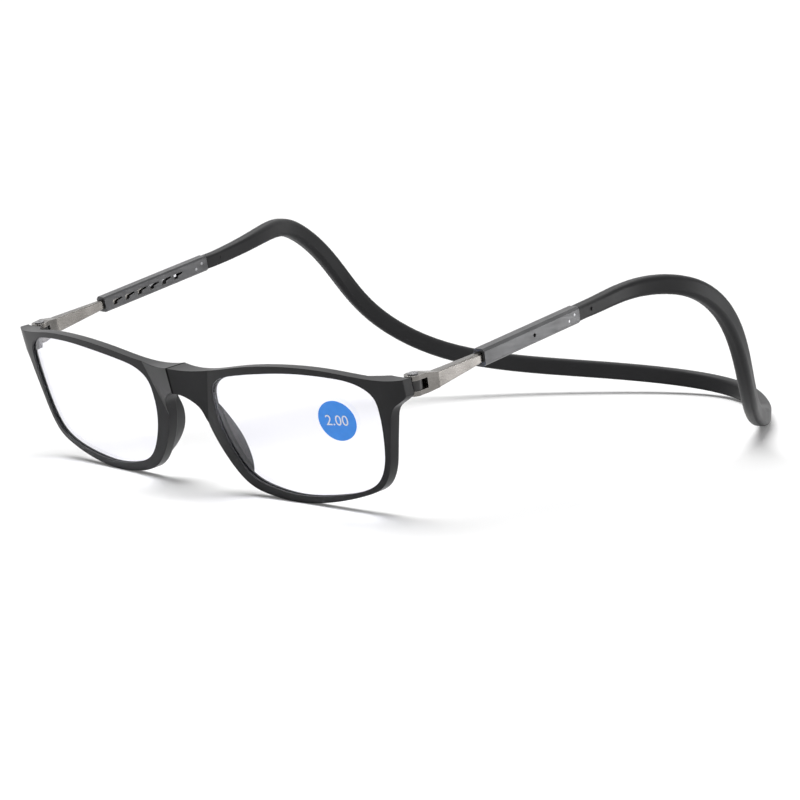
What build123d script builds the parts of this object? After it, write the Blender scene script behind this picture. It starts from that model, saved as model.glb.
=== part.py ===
"""Magnetic bridge reading glasses.

Two front halves meet at a magnetic bridge. Each half swings on a forked hinge at the front end
of a metal temple bar, each bar slides in a ratcheted sleeve, and one moulded rubber band joins
the two sleeves behind the neck.

Millimetres, +Z up, +X towards the wearer's left, +Y towards the back of the head. The glasses
stand on the plane z = 0 on the feet of both rims and on the low bend of the band. The origin
lies on that plane, midway between the halves, under the foot of the front.
"""
import os
from math import atan, cos, degrees, radians, sin, sqrt, tan

from build123d import *

# Front, measured in its own tilted plane: across, up the plane, and depth behind the plane
front_tilt = 18.7
front_radius = 170.0
front_apex = 19.7
front_bulge = 0.63
rim_depth = 2.7
wall_slope_share = 0.19
seam_gap = 0.22

# Lens opening: its box, and its outline as shares of that box
opening_inner = 11.1
opening_foot = 2.05
opening_width = 52.2
opening_height = 33.2
opening_top_shares = [
    (0.0, 0.631), (0.015, 0.794), (0.071, 0.878), (0.170, 0.929), (0.381, 0.980),
    (0.573, 1.0), (0.784, 0.980), (0.925, 0.920), (0.987, 0.830), (1.0, 0.691),
]
opening_foot_shares = [
    (1.0, 0.691), (0.987, 0.450), (0.956, 0.258), (0.908, 0.146), (0.812, 0.071),
    (0.630, 0.018), (0.439, 0.0), (0.266, 0.038), (0.144, 0.113), (0.059, 0.285),
    (0.015, 0.462), (0.0, 0.631),
]

# Outer outline of a half, as shares of the same box
top_edge_shares = [(0.004, 0.944), (0.226, 1.008), (0.515, 1.051), (0.784, 1.026), (0.990, 0.970)]
outer_edge_shares = [
    (1.105, 0.779), (1.080, 0.752), (1.063, 0.712), (1.050, 0.643), (1.017, 0.435),
    (0.990, 0.273), (0.964, 0.182), (0.923, 0.104), (0.841, 0.044), (0.649, -0.029),
    (0.441, -0.062), (0.266, -0.038), (0.121, 0.033), (0.017, 0.200), (-0.061, 0.432),
    (-0.079, 0.535), (-0.088, 0.610), (-0.125, 0.682), (-0.165, 0.718),
]
bridge_top_share = 0.941
bridge_foot_share = 0.730
end_piece_top_share = 0.945
end_piece_foot_share = 0.817

# Bridge block, which stands before the rims and ends at a slanted crease
bridge_stand = 3.15
bridge_backing = 2.0
bridge_margin = 2.0
crease_top_across = 12.2
crease_foot_across = 6.4
crease_top_up = 33.5
crease_foot_up = 16.0

# End piece: its reach past the lens opening, its turn backward, and the block behind it
end_piece_reach = 6.8
end_turn = 1.4
end_turn_start = 1.8
end_block_width = 5.7
end_block_taper = 6.0
end_block_height = 5.4
end_block_gap = 0.4
end_block_inset = 0.1

# Nose pad
pad_thickness = 1.9
pad_root = 1.2
pad_setback = 0.3
pad_reach = 6.4
pad_foot = 4.2
pad_height = 21.6
pad_flare_share = 0.1
pad_line_shares = [
    (-0.115, 0.690), (-0.088, 0.610), (-0.079, 0.535), (-0.061, 0.432), (0.017, 0.200), (0.105, 0.055),
]
pad_side_shares = [
    (0.31, 0.985), (0.52, 0.915), (0.72, 0.79), (0.88, 0.655), (0.98, 0.51), (1.0, 0.4), (0.9, 0.25),
    (0.67, 0.12),
]

# Lens
lens_thickness = 1.6
lens_inset = 0.55
lens_lap = 0.5
lens_gap = 0.1
seat_gap = 0.03

# Sticker on the left lens, its place given as shares of the lens opening's box
sticker_radius = 5.3
sticker_thickness = 0.1
sticker_glue = 0.01
sticker_across_share = 0.7605
sticker_up_share = 0.634

# Bridge magnet
magnet_height = 3.4
magnet_depth = 3.0
magnet_length = 4.5
magnet_up_share = 0.833
magnet_place_back = 0.5

# Temple frame: the hinge pivot, and the direction in which the bar slides
pivot_inset = 1.6
pivot_up_share = 0.842
pivot_clearance = 2.14
temple_pitch = 12.4
temple_splay = 2.0
temple_twist = 1.46

# Hinge
eye_radius = 2.2
lug_radius = 2.05
lug_height = 2.5
lug_width = 2.0
lug_reach = 5.0
knuckle_gap = 0.06
fork_height = 5.0
fork_root = 5.8
fork_wall = 3.5
screw_radius = 0.6
screw_head_radius = 1.25
screw_head_height = 0.35
screw_slot_width = 0.35
screw_slot_depth = 0.2
running_gap = 0.04

# Temple bar
bar_offset = 1.6
bar_width = 2.0
bar_height = 2.4
bar_root_width = 2.8
bar_root_height = 3.9
bar_root_drop = 0.3
bar_bare_length = 22.8
bar_inside_length = 26.9
bar_root_chamfer = 0.15
bar_chamfer = 0.25
bar_bevel = 0.5

# Latch spring in the tail of the bar, and its rivet
latch_length = 11.0
latch_height = 1.3
latch_thickness = 0.25
latch_sink = 0.2
latch_room = 0.3
latch_seat_length = 3.6
latch_side_gap = 0.1
tooth_length = 1.2
tooth_height = 0.8
tooth_stand = 0.28
tooth_setback = 0.4
rivet_radius = 0.35
rivet_head_radius = 0.55
rivet_head_height = 0.12
rivet_place = 1.8

# Sleeve
sleeve_web = 3.6
sleeve_width = 3.5
sleeve_height = 4.3
sleeve_corner = 0.5
sleeve_bevel = 0.7
slide_gap = 0.05
bore_spare = 1.2
groove_depth = 0.36
groove_play = 0.05
groove_spare = 1.0
click_pitch = 4.5
click_count = 5
window_shares = [(-0.2, -0.6), (-0.2, 0.32), (0.8, 0.36), (0.8, 0.08), (0.26, -0.14), (0.2, -0.6)]
window_length = 3.4
window_height = 1.5
vent_radius = 0.5
vent_place = 19.5

# Plug of the band in the sleeve, and its two cross pins
plug_width = 2.0
plug_height = 2.4
plug_length = 6.2
pin_radius = 0.4
pin_inset = 0.05
pin_places = [4.2, 1.9]
pin_rise = 0.5

# Neck band: its sections at the sleeve and behind the neck
band_neck_width = 3.4
band_neck_height = 3.8
band_neck_corner = 0.7
band_width = 4.1
band_height = 5.2
band_corner = 1.4
band_swell_length = 40.0
band_stations = 25
band_lead = 8.0
nub_radius = 0.5
nub_stand = 0.25
nub_place = 5.5

# Route of the band on the left, before the twist: shares of the pivot's distance from the
# middle, and the places back and up that go with them
band_across_shares = [1.010, 1.088, 1.098, 1.043, 0.882, 0.688, 0.404, 0.0]
band_rises = [
    (86.1, 51.4), (102.5, 51.2), (118.2, 41.6), (130.9, 26.5), (151.0, 12.4), (174.2, 6.65),
    (199.0, 4.7), (215.4, 3.8),
]

# Overruns of the cutting tools
overrun = 1.0
far_reach = 60.0
deepest = 20.0

tilt_sin = sin(radians(front_tilt))
tilt_cos = cos(radians(front_tilt))
turn_start = opening_inner + opening_width + end_turn_start
front_half_width = opening_inner + opening_width + end_piece_reach
pivot_across = front_half_width - pivot_inset
pivot_up = opening_foot + pivot_up_share * opening_height
magnet_place_up = opening_foot + magnet_up_share * opening_height
sleeve_length = bar_inside_length + bore_spare + sleeve_web + plug_length
sticker_across = opening_inner + sticker_across_share * opening_width
sticker_up = opening_foot + sticker_up_share * opening_height

# Planes of the front: seen from before it, in plan down its slope, and from its side
front_plane = Plane(origin=(0, 0, 0), x_dir=(1, 0, 0), z_dir=(0, -tilt_cos, -tilt_sin))
plan_plane = Plane(origin=(0, 0, 0), x_dir=(1, 0, 0), z_dir=(0, -tilt_sin, tilt_cos))
side_plane = Plane(origin=(0, 0, 0), x_dir=(0, tilt_cos, tilt_sin), z_dir=(1, 0, 0))


def front_dir(across, up, back):
    """A direction given in the tilted plane's frame."""
    return Vector(across, back * tilt_cos - up * tilt_sin, back * tilt_sin + up * tilt_cos)


def front_depth(across, inset=0.0):
    """Depth of the front face, or of a face a given inset behind it."""
    reach = front_radius - inset
    turn_share = max(across - turn_start, 0.0) / (front_half_width - turn_start)
    arc = front_radius - front_bulge - sqrt(reach ** 2 - (across - front_apex) ** 2)
    return arc + end_turn * turn_share ** 2


def on_wall(across, up):
    """Where a wall that leans with the mould's draw starts, to meet the front face at a point."""
    return (across, up + wall_slope_share * front_depth(across))


def share_points(shares, lap=0.0, depth=0.0):
    """Wall points at a depth from shares of the lens opening's box, grown by a lap."""
    box = [
        on_wall(
            opening_inner - lap + across * (opening_width + lap * 2.0),
            opening_foot - lap + up * (opening_height + lap * 2.0),
        )
        for across, up in shares
    ]
    return [(across, up - wall_slope_share * depth) for across, up in box]


seam = seam_gap / 2.0
draw_dir = front_dir(0, -wall_slope_share, 1)


def slab(inner, outer, inset, thickness):
    """The curved plate between two depths behind the front face, over the whole height."""
    stations = [inner, (inner + outer) / 2.0, outer]
    front = [(across, front_depth(across, inset)) for across in stations]
    back = [(across, front_depth(across, inset + thickness)) for across in stations]
    with BuildPart() as plate:
        with BuildSketch(plan_plane.offset(-opening_height)):
            with BuildLine():
                ThreePointArc(*front)
                Line(front[2], back[2])
                ThreePointArc(*back)
                Line(back[0], front[0])
            make_face()
        extrude(amount=opening_height * 3.0)
    return plate.part


def front_plate():
    """The plate of a half: an arc in plan that turns farther back at the end piece."""
    with BuildPart() as plate:
        with BuildSketch(plan_plane.offset(-opening_height)):
            with BuildLine():
                for inset in (0.0, rim_depth):
                    stations = (seam, front_apex, turn_start)
                    arc = [(across, front_depth(across, inset)) for across in stations]
                    end = (front_half_width, front_depth(front_half_width, inset))
                    run = sqrt((front_radius - inset) ** 2 - (turn_start - front_apex) ** 2)
                    ThreePointArc(*arc)
                    TangentArc(arc[2], end, tangent=(run, turn_start - front_apex))
                Line((seam, front_depth(seam)), (seam, front_depth(seam, rim_depth)))
                Line(
                    (front_half_width, front_depth(front_half_width)),
                    (front_half_width, front_depth(front_half_width, rim_depth)),
                )
            make_face()
        extrude(amount=opening_height * 3.0)
    return plate.part


def opening_prism(lap):
    """The lens opening grown by a lap, as a prism that leans with the mould's draw."""
    with BuildPart() as prism:
        with BuildSketch(front_plane.offset(-deepest)):
            with BuildLine():
                for shares, way in ((opening_top_shares, 1), (opening_foot_shares, -1)):
                    points = share_points(shares, lap, deepest)
                    Spline(*points, tangents=[(0, way), (0, -way)], tangent_scalars=(1, 1))
            make_face()
        extrude(amount=-deepest * 2.0, dir=draw_dir)
    return prism.part


def opening_blank(lap, inset, thickness):
    """The grown lens opening, between two depths behind the front face."""
    inner = opening_inner - lap - overrun
    outer = opening_inner + opening_width + lap + overrun
    with BuildPart() as blank:
        add(opening_prism(lap))
        add(slab(inner, outer, inset, thickness), mode=Mode.INTERSECT)
    return blank.part


def crease_across(up):
    """Distance of the crease from the middle at a height up the plane."""
    slope = (crease_top_across - crease_foot_across) / (crease_top_up - crease_foot_up)
    return crease_foot_across + slope * (up - crease_foot_up)


def bridge_block():
    """The half bridge before the rim: a ruled face from the seam to the crease."""
    with BuildPart() as block:
        for up in (crease_foot_up - bridge_margin, crease_top_up + bridge_margin):
            edge = crease_across(up)
            with BuildSketch(plan_plane.offset(up)):
                with BuildLine():
                    Polyline(
                        (seam, -bridge_stand),
                        (edge, front_depth(edge)),
                        (edge, bridge_backing),
                        (seam, bridge_backing),
                        close=True,
                    )
                make_face()
        loft(ruled=True)
    return block.part


def nose_pad():
    """A fin behind the nose side of the rim, flared outward and rounded at its free edge."""
    wall = share_points(pad_line_shares)
    line = [(across + pad_setback, up) for across, up in wall]
    inner = [(across + pad_thickness, up) for across, up in line]
    side = [
        (share * pad_reach, pad_foot + height_share * pad_height)
        for share, height_share in pad_side_shares
    ]
    with BuildPart() as pad:
        with BuildSketch(front_plane.offset(-pad_root)):
            with BuildLine():
                Spline(*line)
                Line(line[-1], inner[-1])
                Spline(*reversed(inner))
                Line(inner[0], line[0])
            make_face()
        extrude(amount=pad_reach, dir=front_dir(pad_flare_share, 0, 1))
        with BuildSketch(side_plane):
            with BuildLine():
                Spline((0, pad_foot + pad_height), *side, (0, pad_foot))
                Line((0, pad_foot), (0, pad_foot + pad_height))
            make_face()
        extrude(amount=far_reach, mode=Mode.INTERSECT)
    return pad.part


def temple_place(twist):
    """Plane of a left temple: x outward, y back along the bar, z up the hinge pin."""
    depth = front_depth(front_half_width, rim_depth) + pivot_clearance
    back_y = depth * tilt_cos - pivot_up * tilt_sin
    height = depth * tilt_sin + pivot_up * tilt_cos
    pitch = atan(tan(radians(temple_pitch)) + tan(radians(twist)))
    splay = radians(temple_splay)
    return Plane(
        origin=(pivot_across, back_y, height),
        x_dir=(cos(splay), sin(splay) * cos(pitch), sin(splay) * sin(pitch)),
        z_dir=(0, -sin(pitch), cos(pitch)),
    )


def lengthwise(place, station=0.0, aside=0.0):
    """Side view of a temple: x back along the bar, y up, facing outward."""
    origin = place.from_local_coords(Vector(aside, station, 0))
    return Plane(origin=origin, x_dir=place.y_dir, z_dir=place.x_dir)


def across_at(place, station, aside=0.0):
    """Cross section of a temple at a station along it, facing back."""
    origin = place.from_local_coords(Vector(aside, station, 0))
    return Plane(origin=origin, x_dir=place.x_dir, z_dir=place.y_dir)


def bevelled(width, height, corner, bevel):
    """Corners of a cross section, cut all round and most at its upper outer edge; y points down."""
    side = width / 2.0
    rise = height / 2.0
    return [
        (corner - side, -rise),
        (side - bevel, -rise),
        (side, bevel - rise),
        (side, rise - corner),
        (side - corner, rise),
        (corner - side, rise),
        (-side, rise - corner),
        (-side, corner - rise),
    ]


def front_frame(place):
    """Rim, half bridge, nose pad and end piece, moulded in one."""
    bridge_top = on_wall(0, opening_foot + bridge_top_share * opening_height)[1]
    bridge_foot = on_wall(0, opening_foot + bridge_foot_share * opening_height)[1]
    end_top = on_wall(front_half_width, opening_foot + end_piece_top_share * opening_height)
    end_foot = on_wall(front_half_width, opening_foot + end_piece_foot_share * opening_height)
    pivot_depth = front_depth(front_half_width, rim_depth) + pivot_clearance
    block_back = pivot_depth - eye_radius - end_block_gap
    block_inner = front_half_width - end_block_width
    block_start = block_inner - end_block_taper
    block_foot = opening_foot + end_piece_top_share * opening_height - end_block_height
    with BuildPart() as frame:
        add(front_plate())
        add(bridge_block())
        with BuildSketch(plan_plane.offset(block_foot)):
            with BuildLine():
                Polyline(
                    (block_start, front_depth(block_start, rim_depth / 2.0)),
                    (block_inner, front_depth(block_inner, end_block_inset)),
                    (front_half_width, front_depth(front_half_width, end_block_inset)),
                    (front_half_width, block_back),
                    (block_inner, block_back),
                    close=True,
                )
            make_face()
        extrude(amount=end_block_height * 2.0)
        with BuildSketch(front_plane):
            with BuildLine():
                Line((seam, bridge_foot), (seam, bridge_top))
                Spline((seam, bridge_top), *share_points(top_edge_shares), end_top)
                Line(end_top, end_foot)
                Spline(end_foot, *share_points(outer_edge_shares), (seam, bridge_foot))
            make_face()
        extrude(amount=far_reach, dir=draw_dir, both=True, mode=Mode.INTERSECT)
        add(opening_prism(0.0), mode=Mode.SUBTRACT)
        add(nose_pad())
        add(
            opening_blank(lens_lap + lens_gap, lens_inset - seat_gap, lens_thickness + seat_gap * 2.0),
            mode=Mode.SUBTRACT,
        )
        with BuildSketch(Plane.YZ.offset(seam)):
            with Locations(magnet_centre()):
                Rectangle(
                    magnet_depth + seat_gap * 2.0,
                    magnet_height + seat_gap * 2.0,
                    rotation=front_tilt,
                )
        extrude(amount=magnet_length + seat_gap, mode=Mode.SUBTRACT)
        with BuildSketch(across_at(place, -lug_reach - seat_gap)):
            Rectangle(lug_width + seat_gap * 2.0, lug_height + seat_gap * 2.0)
        extrude(amount=lug_reach, mode=Mode.SUBTRACT)
    return frame.part


def magnet_centre():
    """Middle of the magnet's face in the plane of the seam, as y and z."""
    centre = front_dir(0, magnet_place_up, magnet_place_back)
    return (centre.Y, centre.Z)


def lens(place):
    """Clear plate, curved with the front, its edge lapped into the rim's groove."""
    return opening_blank(lens_lap, lens_inset, lens_thickness)


def lens_sticker():
    """Thin round label on the front face of the lens."""
    with BuildPart() as sticker:
        with BuildSketch(front_plane):
            with Locations((sticker_across, sticker_up)):
                Circle(sticker_radius)
        extrude(amount=far_reach, both=True)
        add(
            slab(
                sticker_across - sticker_radius * 2.0,
                sticker_across + sticker_radius * 2.0,
                lens_inset - sticker_glue - sticker_thickness,
                sticker_thickness,
            ),
            mode=Mode.INTERSECT,
        )
    return sticker.part


def bridge_magnet(place):
    """Block magnet with its face flush in the seam."""
    with BuildPart() as magnet:
        with BuildSketch(Plane.YZ.offset(seam)):
            with Locations(magnet_centre()):
                Rectangle(magnet_depth, magnet_height, rotation=front_tilt)
        extrude(amount=magnet_length)
    return magnet.part


def hinge_insert(place):
    """Metal tongue seated in the end piece, with the middle eye of the hinge."""
    with BuildPart() as insert:
        with BuildSketch(across_at(place, -lug_reach)):
            Rectangle(lug_width, lug_height)
        extrude(amount=lug_reach)
        with BuildSketch(place.offset(-lug_height / 2.0)):
            Circle(lug_radius)
        extrude(amount=lug_height)
        with BuildSketch(place.offset(-lug_height / 2.0)):
            Circle(screw_radius + running_gap)
        extrude(amount=lug_height, mode=Mode.SUBTRACT)
    return insert.part


def hinge_screw(place):
    """Pivot screw with a slotted head on top of the fork."""
    with BuildPart() as screw:
        with BuildSketch(place.offset(-fork_height / 2.0)):
            Circle(screw_radius)
        extrude(amount=fork_height)
        with BuildSketch(place.offset(fork_height / 2.0)):
            Circle(screw_head_radius)
        extrude(amount=screw_head_height)
        with BuildSketch(place.offset(fork_height / 2.0 + screw_head_height)):
            Rectangle(screw_head_radius * 3.0, screw_slot_width, rotation=front_tilt)
        extrude(amount=-screw_slot_depth, mode=Mode.SUBTRACT)
    return screw.part


sleeve_end = bar_bare_length + sleeve_length
bar_end = bar_bare_length + bar_inside_length
latch_start = bar_end - latch_length
inner_face = bar_offset - bar_width / 2.0
tooth_place = bar_end - tooth_setback - tooth_length


def temple_bar(place):
    """Metal bar: forked eye in front, a taper to the sleeve, and a straight tail inside it."""
    eye = fork_height / 2.0
    root = bar_root_height / 2.0
    root_half = bar_root_width / 2.0
    slot = lug_height + knuckle_gap * 2.0
    pocket_height = latch_height + latch_side_gap * 2.0
    seat_depth = latch_sink + latch_thickness
    from_left = (Align.MIN, Align.CENTER)
    root_section = bevelled(bar_root_width, bar_root_height, bar_root_chamfer, bar_root_chamfer)
    section = bevelled(bar_width, bar_height, bar_chamfer, bar_bevel)
    with BuildPart() as bar:
        with BuildSketch(lengthwise(place)):
            with BuildLine():
                Polyline(
                    (-eye_radius, eye),
                    (eye_radius, eye),
                    (fork_root, root - bar_root_drop),
                    (fork_root, -root - bar_root_drop),
                    (eye_radius, -eye),
                    (-eye_radius, -eye),
                    close=True,
                )
            make_face()
        extrude(amount=eye_radius * 3.0, both=True)
        with BuildSketch(place):
            Circle(eye_radius)
            with BuildLine():
                Polyline(
                    (-eye_radius, 0),
                    (bar_offset - root_half, fork_root),
                    (bar_offset + root_half, fork_root),
                    (eye_radius, 0),
                    close=True,
                )
            make_face()
        extrude(amount=fork_height, both=True, mode=Mode.INTERSECT)
        with BuildSketch(place.offset(-slot / 2.0)):
            Rectangle(eye_radius * 6.0, fork_root * 2.0 - fork_wall * 2.0)
        extrude(amount=slot, mode=Mode.SUBTRACT)
        with BuildSketch(place.offset(-fork_height / 2.0)):
            Circle(screw_radius + seat_gap)
        extrude(amount=fork_height, mode=Mode.SUBTRACT)
        with BuildSketch(across_at(place, fork_root, bar_offset)):
            with Locations((0, bar_root_drop)):
                Polygon(*root_section, align=None)
        with BuildSketch(across_at(place, bar_bare_length, bar_offset)):
            Polygon(*section, align=None)
        loft(ruled=True)
        with BuildSketch(across_at(place, bar_bare_length, bar_offset)):
            Polygon(*section, align=None)
        extrude(amount=bar_inside_length)
        with BuildSketch(lengthwise(place, latch_start, inner_face)):
            Rectangle(latch_length, pocket_height, align=from_left)
        extrude(amount=seat_depth, mode=Mode.SUBTRACT)
        with BuildSketch(lengthwise(place, latch_start + latch_seat_length, inner_face)):
            Rectangle(latch_length, pocket_height, align=from_left)
        extrude(amount=seat_depth + latch_room, mode=Mode.SUBTRACT)
        with BuildSketch(lengthwise(place, latch_start + rivet_place, inner_face)):
            Circle(rivet_radius + seat_gap)
        extrude(amount=bar_width, mode=Mode.SUBTRACT)
    return bar.part


def latch_spring(place):
    """Leaf in the bar's inner face, with a square tooth near its free end."""
    leaf_face = inner_face + latch_sink
    from_left = (Align.MIN, Align.CENTER)
    with BuildPart() as latch:
        with BuildSketch(lengthwise(place, latch_start + latch_side_gap, leaf_face)):
            Rectangle(latch_length - latch_side_gap * 2.0, latch_height, align=from_left)
        extrude(amount=latch_thickness)
        with BuildSketch(lengthwise(place, tooth_place, inner_face - tooth_stand)):
            Rectangle(tooth_length, tooth_height, align=from_left)
        extrude(amount=tooth_stand + latch_sink)
        with BuildSketch(lengthwise(place, latch_start + rivet_place, leaf_face)):
            Circle(rivet_radius + seat_gap)
        extrude(amount=latch_thickness, mode=Mode.SUBTRACT)
    return latch.part


def latch_rivet(place):
    """Rivet that holds the seat end of the leaf on the bar."""
    leaf_face = inner_face + latch_sink
    shank = bar_width - latch_sink - latch_side_gap
    with BuildPart() as rivet:
        with BuildSketch(lengthwise(place, latch_start + rivet_place, leaf_face)):
            Circle(rivet_radius)
        extrude(amount=shank)
        with BuildSketch(lengthwise(place, latch_start + rivet_place, leaf_face)):
            Circle(rivet_head_radius)
        extrude(amount=-rivet_head_height)
    return rivet.part


def sleeve(place):
    """Sleeve round the tail of the bar, with click windows towards the head."""
    bore_width = bar_width + slide_gap * 2.0
    bore_height = bar_height + slide_gap * 2.0
    wall = (sleeve_width - bore_width) / 2.0
    wall_face = bar_offset - sleeve_width / 2.0
    groove_front = tooth_place - click_pitch * click_count - groove_spare
    groove_back = tooth_place + tooth_length + groove_spare
    window_centre = tooth_place + tooth_length / 2.0
    with BuildPart() as tube:
        with BuildSketch(across_at(place, bar_bare_length, bar_offset)):
            Polygon(*bevelled(sleeve_width, sleeve_height, sleeve_corner, sleeve_bevel), align=None)
        extrude(amount=sleeve_length)
        with BuildSketch(across_at(place, bar_bare_length, bar_offset)):
            Rectangle(bore_width, bore_height)
        extrude(amount=bar_inside_length + bore_spare, mode=Mode.SUBTRACT)
        with BuildSketch(across_at(place, sleeve_end, bar_offset)):
            Rectangle(plug_width + seat_gap * 2.0, plug_height + seat_gap * 2.0)
        extrude(amount=-plug_length - seat_gap, mode=Mode.SUBTRACT)
        with BuildSketch(lengthwise(place, groove_front, bar_offset - bore_width / 2.0 - groove_depth)):
            Rectangle(
                groove_back - groove_front,
                tooth_height + groove_play * 2.0,
                align=(Align.MIN, Align.CENTER),
            )
        extrude(amount=bore_width, mode=Mode.SUBTRACT)
        for click in range(click_count + 1):
            outline = [(along * window_length, up * window_height) for along, up in window_shares]
            with BuildSketch(lengthwise(place, window_centre - click * click_pitch, wall_face)):
                with BuildLine():
                    Polyline(*outline, close=True)
                make_face()
            extrude(amount=wall + bore_width / 2.0, mode=Mode.SUBTRACT)
        with BuildSketch(lengthwise(place, bar_bare_length + vent_place, bar_offset)):
            Circle(vent_radius)
        extrude(amount=sleeve_width, mode=Mode.SUBTRACT)
        add(pin_pair(place, pin_radius + seat_gap, 0.0), mode=Mode.SUBTRACT)
    return tube.part


def pin_pair(place, radius, inset):
    """Two cross pins through the closed end of the sleeve, staggered in height."""
    head_side = bar_offset - sleeve_width / 2.0 + inset
    with BuildPart() as pins:
        for distance, rise in zip(pin_places, (-pin_rise, pin_rise)):
            with BuildSketch(lengthwise(place, sleeve_end - distance, head_side)):
                with Locations((0, rise)):
                    Circle(radius)
            extrude(amount=sleeve_width - inset * 2.0)
    return pins.part


def sleeve_pins(place):
    """The two pins that hold the band's plug."""
    return pin_pair(place, pin_radius, pin_inset)


def band_half(place, twist):
    """Left half of the band, lofted along a curve from the sleeve to the middle."""
    lean = tan(radians(twist)) / pivot_across
    straight = [sleeve_end + seat_gap, sleeve_end + band_lead]
    route = [place.from_local_coords(Vector(bar_offset, station, 0)) for station in straight]
    for share, (back, up) in zip(band_across_shares, band_rises):
        across = share * pivot_across
        route.append(Vector(across, back, up + lean * across * (back - place.origin.Y)))
    ends = (place.y_dir, Vector(-1, 0, -lean * route[-1].Y).normalized())
    path = Edge.make_spline(route, tangents=ends, scale=False)
    with BuildPart() as half:
        for station in range(band_stations):
            share = station / (band_stations - 1.0)
            along = path.tangent_at(share)
            reach = min(path.length * share / band_swell_length, 1.0)
            swell = sin(radians(reach * 90.0)) ** 2
            with BuildSketch(Plane(path.position_at(share), x_dir=(along.Y, -along.X, 0), z_dir=along)):
                RectangleRounded(
                    band_neck_width + swell * (band_width - band_neck_width),
                    band_neck_height + swell * (band_height - band_neck_height),
                    band_neck_corner + swell * (band_corner - band_neck_corner),
                )
        loft()
        with BuildSketch(across_at(place, sleeve_end + seat_gap, bar_offset)):
            Rectangle(plug_width, plug_height)
        extrude(amount=-plug_length)
        with BuildSketch(lengthwise(place, sleeve_end + nub_place, bar_offset)):
            Circle(nub_radius)
        extrude(amount=band_neck_width / 2.0 + nub_stand, both=True)
        add(pin_pair(place, pin_radius + seat_gap, 0.0), mode=Mode.SUBTRACT)
    return half.part


def neck_band():
    """The moulded band in one piece, from sleeve to sleeve."""
    with BuildPart() as band:
        add(band_half(left_place, -temple_twist))
        add(mirror(band_half(right_place, temple_twist), about=Plane.YZ))
    return band.part


makers = {
    "front_frame": front_frame,
    "lens": lens,
    "bridge_magnet": bridge_magnet,
    "hinge_insert": hinge_insert,
    "hinge_screw": hinge_screw,
    "temple_bar": temple_bar,
    "latch_spring": latch_spring,
    "latch_rivet": latch_rivet,
    "sleeve": sleeve,
    "sleeve_pins": sleeve_pins,
}


def save(part, name):
    """Label a piece and write its file."""
    part.label = name
    export_step(part, f"parts/{name}.step")


os.makedirs("parts", exist_ok=True)
left_place = temple_place(-temple_twist)
right_place = temple_place(temple_twist)
for name, make in makers.items():
    save(make(left_place), f"left_{name}")
    save(mirror(make(right_place), about=Plane.YZ), f"right_{name}")
save(lens_sticker(), "lens_sticker")
save(neck_band(), "neck_band")
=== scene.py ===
"""Looks, light and camera for the magnetic bridge reading glasses."""

import math

import bpy
from mathutils import Matrix, Vector


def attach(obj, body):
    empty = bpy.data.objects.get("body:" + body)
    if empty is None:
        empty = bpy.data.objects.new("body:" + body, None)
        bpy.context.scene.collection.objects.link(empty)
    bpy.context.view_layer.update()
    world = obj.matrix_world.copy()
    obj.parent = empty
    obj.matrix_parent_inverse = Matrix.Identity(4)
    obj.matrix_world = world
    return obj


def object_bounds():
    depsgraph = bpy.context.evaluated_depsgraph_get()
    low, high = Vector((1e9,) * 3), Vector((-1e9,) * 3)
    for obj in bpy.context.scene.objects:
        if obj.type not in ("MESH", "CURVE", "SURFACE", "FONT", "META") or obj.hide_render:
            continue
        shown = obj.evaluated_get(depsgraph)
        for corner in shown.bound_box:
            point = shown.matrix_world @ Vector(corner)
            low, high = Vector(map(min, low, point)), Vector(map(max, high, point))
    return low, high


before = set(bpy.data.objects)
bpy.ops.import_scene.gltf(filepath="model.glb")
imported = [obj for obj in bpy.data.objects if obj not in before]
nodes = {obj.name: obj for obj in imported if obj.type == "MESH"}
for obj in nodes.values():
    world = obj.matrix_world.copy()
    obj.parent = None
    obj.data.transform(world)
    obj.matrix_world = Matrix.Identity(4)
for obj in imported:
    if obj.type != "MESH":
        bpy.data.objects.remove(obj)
cad_low, cad_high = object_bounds()
MM = 0.001

# The camera, solved from the photograph: bearing round the object, height, roll, distance, lens
CAMERA_AZIMUTH = math.radians(43.05)
CAMERA_ELEVATION = math.radians(8.67)
CAMERA_ROLL = math.radians(0.38)
CAMERA_DISTANCE = 744.7 * MM
CAMERA_TARGET = Vector((8.83, 62.1, 16.09)) * MM
CAMERA_LENS = 125.5
CAMERA_SENSOR = 36.0
CAMERA_NEAR = 0.01
CAMERA_FAR = 20.0

# The tilted plane of the front, and its curve across
FRONT_TILT = math.radians(18.7)
FRONT_RADIUS = 170.0 * MM
FRONT_APEX = 19.7 * MM
FRONT_BULGE = 0.63 * MM
LENS_INSET = 0.55 * MM

# The number on the sticker: its middle on the lens, its lift off it, height and thickness
NUMBER = "2.00"
NUMBER_ACROSS = 50.8 * MM
NUMBER_UP = 23.1 * MM
NUMBER_LIFT = 0.13 * MM
NUMBER_SIZE = 3.9 * MM
NUMBER_RELIEF = 0.01 * MM
NUMBER_CURVE_STEPS = 6

# Painted shade beside the seam between the halves, by distance from the seam: a dark, fully rough
# line standing in for the gap's shadow
SEAM_SHADE_FULL = 0.25 * MM
SEAM_SHADE_END = 0.42 * MM
SEAM_SHADE_COLOR = (0.001, 0.001, 0.001)
SEAM_SHADE_ROUGHNESS = (1.0, 1.0, 1.0)

# Wear and painted highlight along edges: how far rounded normals agree with the face's own where it
# is full and gone
WEAR_AND_HIGHLIGHT_FULL = 0.80
WEAR_AND_HIGHLIGHT_END = 0.985
BEVEL_SAMPLES = 6

# The middle part of a noise field, which carries nearly all its values
NOISE_LOW = 0.3
NOISE_HIGH = 0.7

# Metals: squeeze of the noise along its scratches, shares of the sheen, worn and painted-highlight
# edge and bump height
X_AXIS, Y_AXIS, Z_AXIS = range(3)
SCRATCH_SQUEEZE = 0.04
SHEEN_FINE = 0.8
SHEEN_COARSE = 1.25
METAL_EDGE = 0.15 * MM
BUMP_HEIGHT = 0.02 * MM

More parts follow.
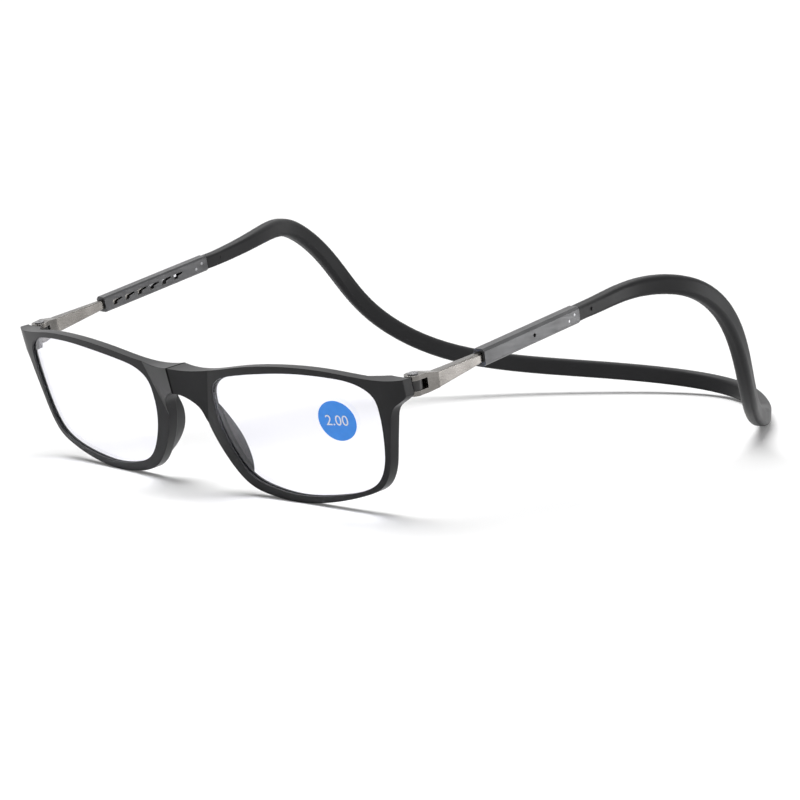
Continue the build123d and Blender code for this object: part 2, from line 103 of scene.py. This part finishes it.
# Socket numbers of a colour mix
MIX_FACTOR = 0
MIX_FIRST = 6
MIX_SECOND = 7
MIX_RESULT = 2

# Floor, world and lights: each lamp has its place, its target, its size and its power
FLOOR_SIZE = 60.0
FLOOR_DROP = 0.02 * MM
FLOOR_WHITE = 0.90
FLOOR_ROUGHNESS = 0.9
FLOOR_GLOW = 0.07
WORLD_LEVEL = 0.24
WHITE = (1.0, 1.0, 1.0, 1.0)
SUN_TOWARD = (-0.31, 0.05, 0.95)
SUN_STRENGTH = 2.85
SUN_ANGLE = 44.0
LAMP_TARGET = (0.07, 0.05, 0.03)
LAMPS = {
    "side_lamp": ((0.27, 0.265, 0.05), LAMP_TARGET, (0.10, 0.08), 0.25),
    "back_lamp": ((0.15, 0.48, 0.42), LAMP_TARGET, (0.08, 0.08), 0.14),
}


def material(name, color, roughness, metallic=0.0):
    """A principled material, with its node tree, links and shader."""
    made = bpy.data.materials.new(name)
    made.use_nodes = True
    tree = made.node_tree
    shader = tree.nodes["Principled BSDF"]
    shader.inputs["Base Color"].default_value = (*color, 1.0)
    shader.inputs["Roughness"].default_value = roughness
    shader.inputs["Metallic"].default_value = metallic
    made.diffuse_color = (*color, 1.0)
    return made, tree, shader


def object_coordinates(tree, scale=(1.0, 1.0, 1.0)):
    """Texture coordinates fixed to the object, scaled along each axis."""
    coordinates = tree.nodes.new("ShaderNodeTexCoord")
    mapping = tree.nodes.new("ShaderNodeMapping")
    mapping.inputs["Scale"].default_value = scale
    tree.links.new(coordinates.outputs["Object"], mapping.inputs["Vector"])
    return mapping.outputs["Vector"]


def noise(tree, vector, scale, detail):
    """A noise field over the given coordinates."""
    field = tree.nodes.new("ShaderNodeTexNoise")
    field.inputs["Scale"].default_value = scale
    field.inputs["Detail"].default_value = detail
    tree.links.new(vector, field.inputs["Vector"])
    return field.outputs["Fac"]


def ramp_value(tree, value, low, high, from_low=NOISE_LOW, from_high=NOISE_HIGH):
    """A value carried from one range to another, and held at its ends."""
    spread = tree.nodes.new("ShaderNodeMapRange")
    spread.inputs["From Min"].default_value = from_low
    spread.inputs["From Max"].default_value = from_high
    spread.inputs["To Min"].default_value = low
    spread.inputs["To Max"].default_value = high
    tree.links.new(value, spread.inputs["Value"])
    return spread.outputs["Result"]


def color_ramp(tree, value, dark, light):
    """A colour between two, chosen by a noise field."""
    ramp = tree.nodes.new("ShaderNodeValToRGB")
    ramp.color_ramp.elements[0].position = NOISE_LOW
    ramp.color_ramp.elements[0].color = (*dark, 1.0)
    ramp.color_ramp.elements[1].position = NOISE_HIGH
    ramp.color_ramp.elements[1].color = (*light, 1.0)
    tree.links.new(value, ramp.inputs["Fac"])
    return ramp.outputs["Color"]


def mixed(tree, factor, first, second):
    """A field that turns from the first one to a fixed second colour as the factor rises."""
    blend = tree.nodes.new("ShaderNodeMix")
    blend.data_type = "RGBA"
    blend.inputs[MIX_SECOND].default_value = (*second, 1.0)
    tree.links.new(factor, blend.inputs[MIX_FACTOR])
    tree.links.new(first, blend.inputs[MIX_FIRST])
    return blend.outputs[MIX_RESULT]


def rounded_normal(tree, radius):
    """Normals as if the edges were rounded by a radius."""
    rounding = tree.nodes.new("ShaderNodeBevel")
    rounding.samples = BEVEL_SAMPLES
    rounding.inputs["Radius"].default_value = radius
    return rounding.outputs["Normal"]


def worn_and_highlit_edges(tree, tone, worn, radius):
    """A colour that turns to a lighter one along sharp edges: partly wear, partly a painted
    highlight.
    """
    geometry = tree.nodes.new("ShaderNodeNewGeometry")
    turn = tree.nodes.new("ShaderNodeVectorMath")
    turn.operation = "DOT_PRODUCT"
    tree.links.new(rounded_normal(tree, radius), turn.inputs[0])
    tree.links.new(geometry.outputs["Normal"], turn.inputs[1])
    edge_mask = ramp_value(tree, turn.outputs["Value"], 1.0, 0.0, WEAR_AND_HIGHLIGHT_FULL, WEAR_AND_HIGHLIGHT_END)
    return mixed(tree, edge_mask, tone, worn)


def surface(tree, shader, height, strength, distance, edge=0.0):
    """A bump from a height field, over normals rounded at the edges."""
    bump = tree.nodes.new("ShaderNodeBump")
    bump.inputs["Strength"].default_value = strength
    bump.inputs["Distance"].default_value = distance
    tree.links.new(height, bump.inputs["Height"])
    if edge:
        tree.links.new(rounded_normal(tree, edge), bump.inputs["Normal"])
    tree.links.new(bump.outputs["Normal"], shader.inputs["Normal"])


def painted_seam_shade(tree, where):
    """One at the seam between the halves, falling to zero beside it: the mask of the painted shade
    in the seam.
    """
    split = tree.nodes.new("ShaderNodeSeparateXYZ")
    tree.links.new(where, split.inputs["Vector"])
    distance = tree.nodes.new("ShaderNodeMath")
    distance.operation = "ABSOLUTE"
    tree.links.new(split.outputs["X"], distance.inputs[0])
    return ramp_value(tree, distance.outputs["Value"], 1.0, 0.0, SEAM_SHADE_FULL, SEAM_SHADE_END)


def frame_plastic():
    """Black moulded plastic: satin, finely grained, with edges lightened partly as wear and partly
    as a painted highlight, and painted shade at the seam.
    """
    made, tree, shader = material("frame_plastic", (0.015, 0.015, 0.016), 0.32)
    where = object_coordinates(tree)
    cloud = noise(tree, where, scale=90.0, detail=4.0)
    grain = noise(tree, where, scale=4200.0, detail=2.0)
    # Painted shade along the seam: the frame turns dark and fully rough there
    seam_shade_mask = painted_seam_shade(tree, where)
    sheen = ramp_value(tree, cloud, 0.28, 0.40)
    tree.links.new(mixed(tree, seam_shade_mask, sheen, SEAM_SHADE_ROUGHNESS), shader.inputs["Roughness"])
    tone = color_ramp(tree, cloud, (0.010, 0.010, 0.011), (0.016, 0.016, 0.017))
    # Edges lighter, partly as wear and partly as a painted highlight
    worn = worn_and_highlit_edges(tree, tone, worn=(0.07, 0.07, 0.072), radius=0.16 * MM)
    tree.links.new(mixed(tree, seam_shade_mask, worn, SEAM_SHADE_COLOR), shader.inputs["Base Color"])
    shader.inputs["Specular IOR Level"].default_value = 0.20
    surface(tree, shader, grain, strength=0.10, distance=BUMP_HEIGHT, edge=0.28 * MM)
    return made


def lens_glass():
    """Clear polished lens that lets light through to the floor."""
    made, tree, shader = material("lens_clear", (0.985, 0.99, 1.0), 0.0)
    shader.inputs["Transmission Weight"].default_value = 1.0
    shader.inputs["IOR"].default_value = 1.49
    shader.inputs["Coat Weight"].default_value = 0.06
    shader.inputs["Coat Tint"].default_value = (0.72, 0.68, 1.0, 1.0)
    ripple = noise(tree, object_coordinates(tree), scale=28.0, detail=1.0)
    surface(tree, shader, ripple, strength=0.02, distance=BUMP_HEIGHT)
    clear = tree.nodes.new("ShaderNodeBsdfTransparent")
    clear.inputs["Color"].default_value = (0.93, 0.935, 0.95, 1.0)
    path = tree.nodes.new("ShaderNodeLightPath")
    mix = tree.nodes.new("ShaderNodeMixShader")
    output = tree.nodes["Material Output"]
    tree.links.new(path.outputs["Is Shadow Ray"], mix.inputs["Fac"])
    tree.links.new(shader.outputs["BSDF"], mix.inputs[1])
    tree.links.new(clear.outputs["BSDF"], mix.inputs[2])
    tree.links.new(mix.outputs["Shader"], output.inputs["Surface"])
    return made


def metal(name, dark, light, worn, roughness, grain_axis, grain=0.12, metallic=1.0):
    """Metal with long fine scratches along one axis, edges lightened partly as wear and partly as a
    painted highlight, and an uneven sheen.
    """
    made, tree, shader = material(name, light, roughness, metallic)
    squeeze = [1.0, 1.0, 1.0]
    squeeze[grain_axis] = SCRATCH_SQUEEZE
    scratches = noise(tree, object_coordinates(tree, squeeze), scale=2600.0, detail=3.0)
    cloud = noise(tree, object_coordinates(tree), scale=160.0, detail=3.0)
    # Edges lighter, partly as wear and partly as a painted highlight
    tone = worn_and_highlit_edges(tree, color_ramp(tree, cloud, dark, light), worn, METAL_EDGE)
    tree.links.new(tone, shader.inputs["Base Color"])
    sheen = ramp_value(tree, scratches, roughness * SHEEN_FINE, roughness * SHEEN_COARSE)
    tree.links.new(sheen, shader.inputs["Roughness"])
    surface(tree, shader, scratches, grain, BUMP_HEIGHT, METAL_EDGE)
    return made


def band_rubber():
    """Soft black rubber: matt satin skin, faintly pebbled, with a trace of dust."""
    made, tree, shader = material("band_rubber", (0.016, 0.016, 0.017), 0.46)
    where = object_coordinates(tree)
    cloud = noise(tree, where, scale=60.0, detail=4.0)
    pebble = noise(tree, where, scale=2200.0, detail=3.0)
    tone = color_ramp(tree, cloud, (0.011, 0.011, 0.012), (0.017, 0.017, 0.018))
    tree.links.new(tone, shader.inputs["Base Color"])
    tree.links.new(ramp_value(tree, cloud, 0.40, 0.52), shader.inputs["Roughness"])
    shader.inputs["Specular IOR Level"].default_value = 0.18
    surface(tree, shader, pebble, strength=0.12, distance=0.03 * MM)
    return made


def sticker_film():
    """Printed blue film with a slight gloss."""
    made, tree, shader = material("sticker_film", (0.024, 0.279, 0.914), 0.35)
    cloud = noise(tree, object_coordinates(tree), scale=700.0, detail=3.0)
    tone = color_ramp(tree, cloud, (0.022, 0.262, 0.88), (0.027, 0.292, 0.93))
    tree.links.new(tone, shader.inputs["Base Color"])
    tree.links.new(ramp_value(tree, cloud, 0.30, 0.42), shader.inputs["Roughness"])
    return made


def white_ink():
    """White print on the film."""
    made, tree, shader = material("white_ink", (0.86, 0.88, 0.92), 0.5)
    speckle = noise(tree, object_coordinates(tree), scale=3000.0, detail=2.0)
    tone = color_ramp(tree, speckle, (0.80, 0.83, 0.90), (0.90, 0.91, 0.94))
    tree.links.new(tone, shader.inputs["Base Color"])
    return made


# The metals, by piece
# Each metal's edge colour lights its edges, partly as wear and partly as a painted highlight
METALS = {
    "bridge_magnet": dict(
        name="magnet_plate", roughness=0.22, grain_axis=Z_AXIS,
        dark=(0.42, 0.42, 0.43), light=(0.56, 0.56, 0.57), worn=(0.70, 0.70, 0.71),
    ),
    "hinge_insert": dict(
        name="hinge_steel", roughness=0.38, grain_axis=Z_AXIS,
        dark=(0.030, 0.030, 0.031), light=(0.055, 0.054, 0.054), worn=(0.20, 0.20, 0.20),
    ),
    "hinge_screw": dict(
        name="screw_steel", roughness=0.30, grain_axis=X_AXIS,
        dark=(0.16, 0.16, 0.165), light=(0.30, 0.30, 0.31), worn=(0.55, 0.55, 0.56),
    ),
    "temple_bar": dict(
        name="bar_metal", roughness=0.25, grain_axis=Y_AXIS,
        dark=(0.13, 0.123, 0.115), light=(0.19, 0.18, 0.17), worn=(0.60, 0.58, 0.55),
    ),
    "latch_spring": dict(
        name="latch_steel", roughness=0.28, grain_axis=Y_AXIS,
        dark=(0.32, 0.32, 0.33), light=(0.46, 0.46, 0.47), worn=(0.60, 0.60, 0.61),
    ),
    "latch_rivet": dict(
        name="rivet_steel", roughness=0.30, grain_axis=Z_AXIS,
        dark=(0.30, 0.30, 0.31), light=(0.42, 0.42, 0.43), worn=(0.60, 0.60, 0.61),
    ),
    "sleeve": dict(
        name="sleeve_metal", roughness=0.36, grain_axis=Y_AXIS, grain=0.08, metallic=0.6,
        dark=(0.052, 0.052, 0.054), light=(0.082, 0.082, 0.085), worn=(0.26, 0.26, 0.27),
    ),
    "sleeve_pins": dict(
        name="pin_steel", roughness=0.34, grain_axis=X_AXIS,
        dark=(0.18, 0.18, 0.185), light=(0.26, 0.26, 0.27), worn=(0.50, 0.50, 0.51),
    ),
}
looks = {"front_frame": frame_plastic(), "lens": lens_glass()}
for piece, values in METALS.items():
    looks[piece] = metal(**values)


def dress(node, look):
    """Gives a node one material."""
    nodes[node].data.materials.clear()
    nodes[node].data.materials.append(look)


for side in ("left", "right"):
    for piece, look in looks.items():
        dress(f"{side}_{piece}", look)
dress("neck_band", band_rubber())
dress("lens_sticker", sticker_film())


def front_matrix(across, up, lift):
    """Where something lies on the lens: its own x across, y up the lens, z towards the viewer."""
    reach = math.sqrt((FRONT_RADIUS - LENS_INSET) ** 2 - (across - FRONT_APEX) ** 2)
    depth = FRONT_RADIUS - FRONT_BULGE - reach - lift
    slope = math.asin((across - FRONT_APEX) / FRONT_RADIUS)
    up_axis = Vector((0, -math.sin(FRONT_TILT), math.cos(FRONT_TILT)))
    back_axis = Vector((0, math.cos(FRONT_TILT), math.sin(FRONT_TILT)))
    across_axis = Vector((1, 0, 0))
    x_axis = across_axis * math.cos(slope) + back_axis * math.sin(slope)
    z_axis = x_axis.cross(up_axis)
    place = across_axis * across + up_axis * up + back_axis * depth
    return Matrix.Translation(place) @ Matrix((x_axis, up_axis, z_axis)).transposed().to_4x4()


def add_number():
    """A plain number printed on the sticker."""
    words = bpy.data.curves.new("sticker_number", "FONT")
    words.body = NUMBER
    words.size = NUMBER_SIZE
    words.align_x = "CENTER"
    words.align_y = "CENTER"
    words.extrude = NUMBER_RELIEF
    words.resolution_u = NUMBER_CURVE_STEPS
    words.materials.append(white_ink())
    piece = bpy.data.objects.new("sticker_number", words)
    bpy.context.scene.collection.objects.link(piece)
    piece.matrix_world = front_matrix(NUMBER_ACROSS, NUMBER_UP, NUMBER_LIFT)
    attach(piece, "left_front")


def camera_axes():
    """The camera's right, up and back axes, with its roll."""
    flat = math.cos(CAMERA_ELEVATION)
    back = Vector((
        math.sin(CAMERA_AZIMUTH) * flat,
        -math.cos(CAMERA_AZIMUTH) * flat,
        math.sin(CAMERA_ELEVATION),
    ))
    level = (-back).cross(Vector((0, 0, 1))).normalized()
    upright = level.cross(-back)
    right = level * math.cos(CAMERA_ROLL) + upright * math.sin(CAMERA_ROLL)
    up = upright * math.cos(CAMERA_ROLL) - level * math.sin(CAMERA_ROLL)
    return right, up, back


def add_camera():
    """The photograph's camera."""
    data = bpy.data.cameras.new("camera")
    data.lens = CAMERA_LENS
    data.sensor_width = CAMERA_SENSOR
    data.clip_start = CAMERA_NEAR
    data.clip_end = CAMERA_FAR
    eye = bpy.data.objects.new("camera", data)
    bpy.context.scene.collection.objects.link(eye)
    right, up, back = camera_axes()
    turn = Matrix((right, up, back)).transposed().to_4x4()
    eye.matrix_world = Matrix.Translation(CAMERA_TARGET + back * CAMERA_DISTANCE) @ turn
    bpy.context.scene.camera = eye


def add_sun(name, toward, strength, angle):
    """A broad soft light from one direction, the same all over the floor."""
    data = bpy.data.lights.new(name, "SUN")
    data.energy = strength
    data.angle = math.radians(angle)
    sun = bpy.data.objects.new(name, data)
    bpy.context.scene.collection.objects.link(sun)
    sun.rotation_euler = Vector(toward).to_track_quat("Z", "Y").to_euler()


def add_lamp(name, place, target, size, power):
    """A small rectangular lamp that faces a point."""
    data = bpy.data.lights.new(name, "AREA")
    data.shape = "RECTANGLE"
    data.size, data.size_y = size
    data.energy = power
    lamp = bpy.data.objects.new(name, data)
    bpy.context.scene.collection.objects.link(lamp)
    lamp.location = place
    lamp.rotation_euler = (Vector(target) - Vector(place)).to_track_quat("-Z", "Y").to_euler()


def camera_white(tree):
    """One for rays that should see white: from the camera, off gloss, and through glass."""
    path = tree.nodes.new("ShaderNodeLightPath")
    first = tree.nodes.new("ShaderNodeMath")
    first.operation = "MAXIMUM"
    tree.links.new(path.outputs["Is Camera Ray"], first.inputs[0])
    tree.links.new(path.outputs["Is Transmission Ray"], first.inputs[1])
    second = tree.nodes.new("ShaderNodeMath")
    second.operation = "MAXIMUM"
    tree.links.new(first.outputs["Value"], second.inputs[0])
    tree.links.new(path.outputs["Is Glossy Ray"], second.inputs[1])
    return second.outputs["Value"]


def add_floor():
    """A plain white floor that keeps the object's shadow."""
    mesh = bpy.data.meshes.new("floor")
    half = FLOOR_SIZE / 2.0
    corners = [(-half, -half, 0), (half, -half, 0), (half, half, 0), (-half, half, 0)]
    mesh.from_pydata(corners, [], [(0, 1, 2, 3)])
    floor = bpy.data.objects.new("floor", mesh)
    floor.location.z = cad_low[2] - FLOOR_DROP
    bpy.context.scene.collection.objects.link(floor)
    made, tree, shader = material("floor", (FLOOR_WHITE, FLOOR_WHITE, FLOOR_WHITE), FLOOR_ROUGHNESS)
    shader.inputs["Specular IOR Level"].default_value = 0.0
    shader.inputs["Emission Color"].default_value = WHITE
    glow = ramp_value(tree, camera_white(tree), 0.0, FLOOR_GLOW, 0.0, 1.0)
    tree.links.new(glow, shader.inputs["Emission Strength"])
    mesh.materials.append(made)


def add_world():
    """Even studio light, seen as white by the camera, off gloss and through glass."""
    world = bpy.data.worlds.new("studio")
    bpy.context.scene.world = world
    world.use_nodes = True
    tree = world.node_tree
    background = tree.nodes["Background"]
    background.inputs["Color"].default_value = WHITE
    level = ramp_value(tree, camera_white(tree), WORLD_LEVEL, 1.0, 0.0, 1.0)
    tree.links.new(level, background.inputs["Strength"])


add_number()
add_camera()
add_floor()
add_world()
add_sun("high_light", SUN_TOWARD, SUN_STRENGTH, SUN_ANGLE)
for name, values in LAMPS.items():
    add_lamp(name, *values)

bpy.context.scene.view_settings.view_transform = "Standard"
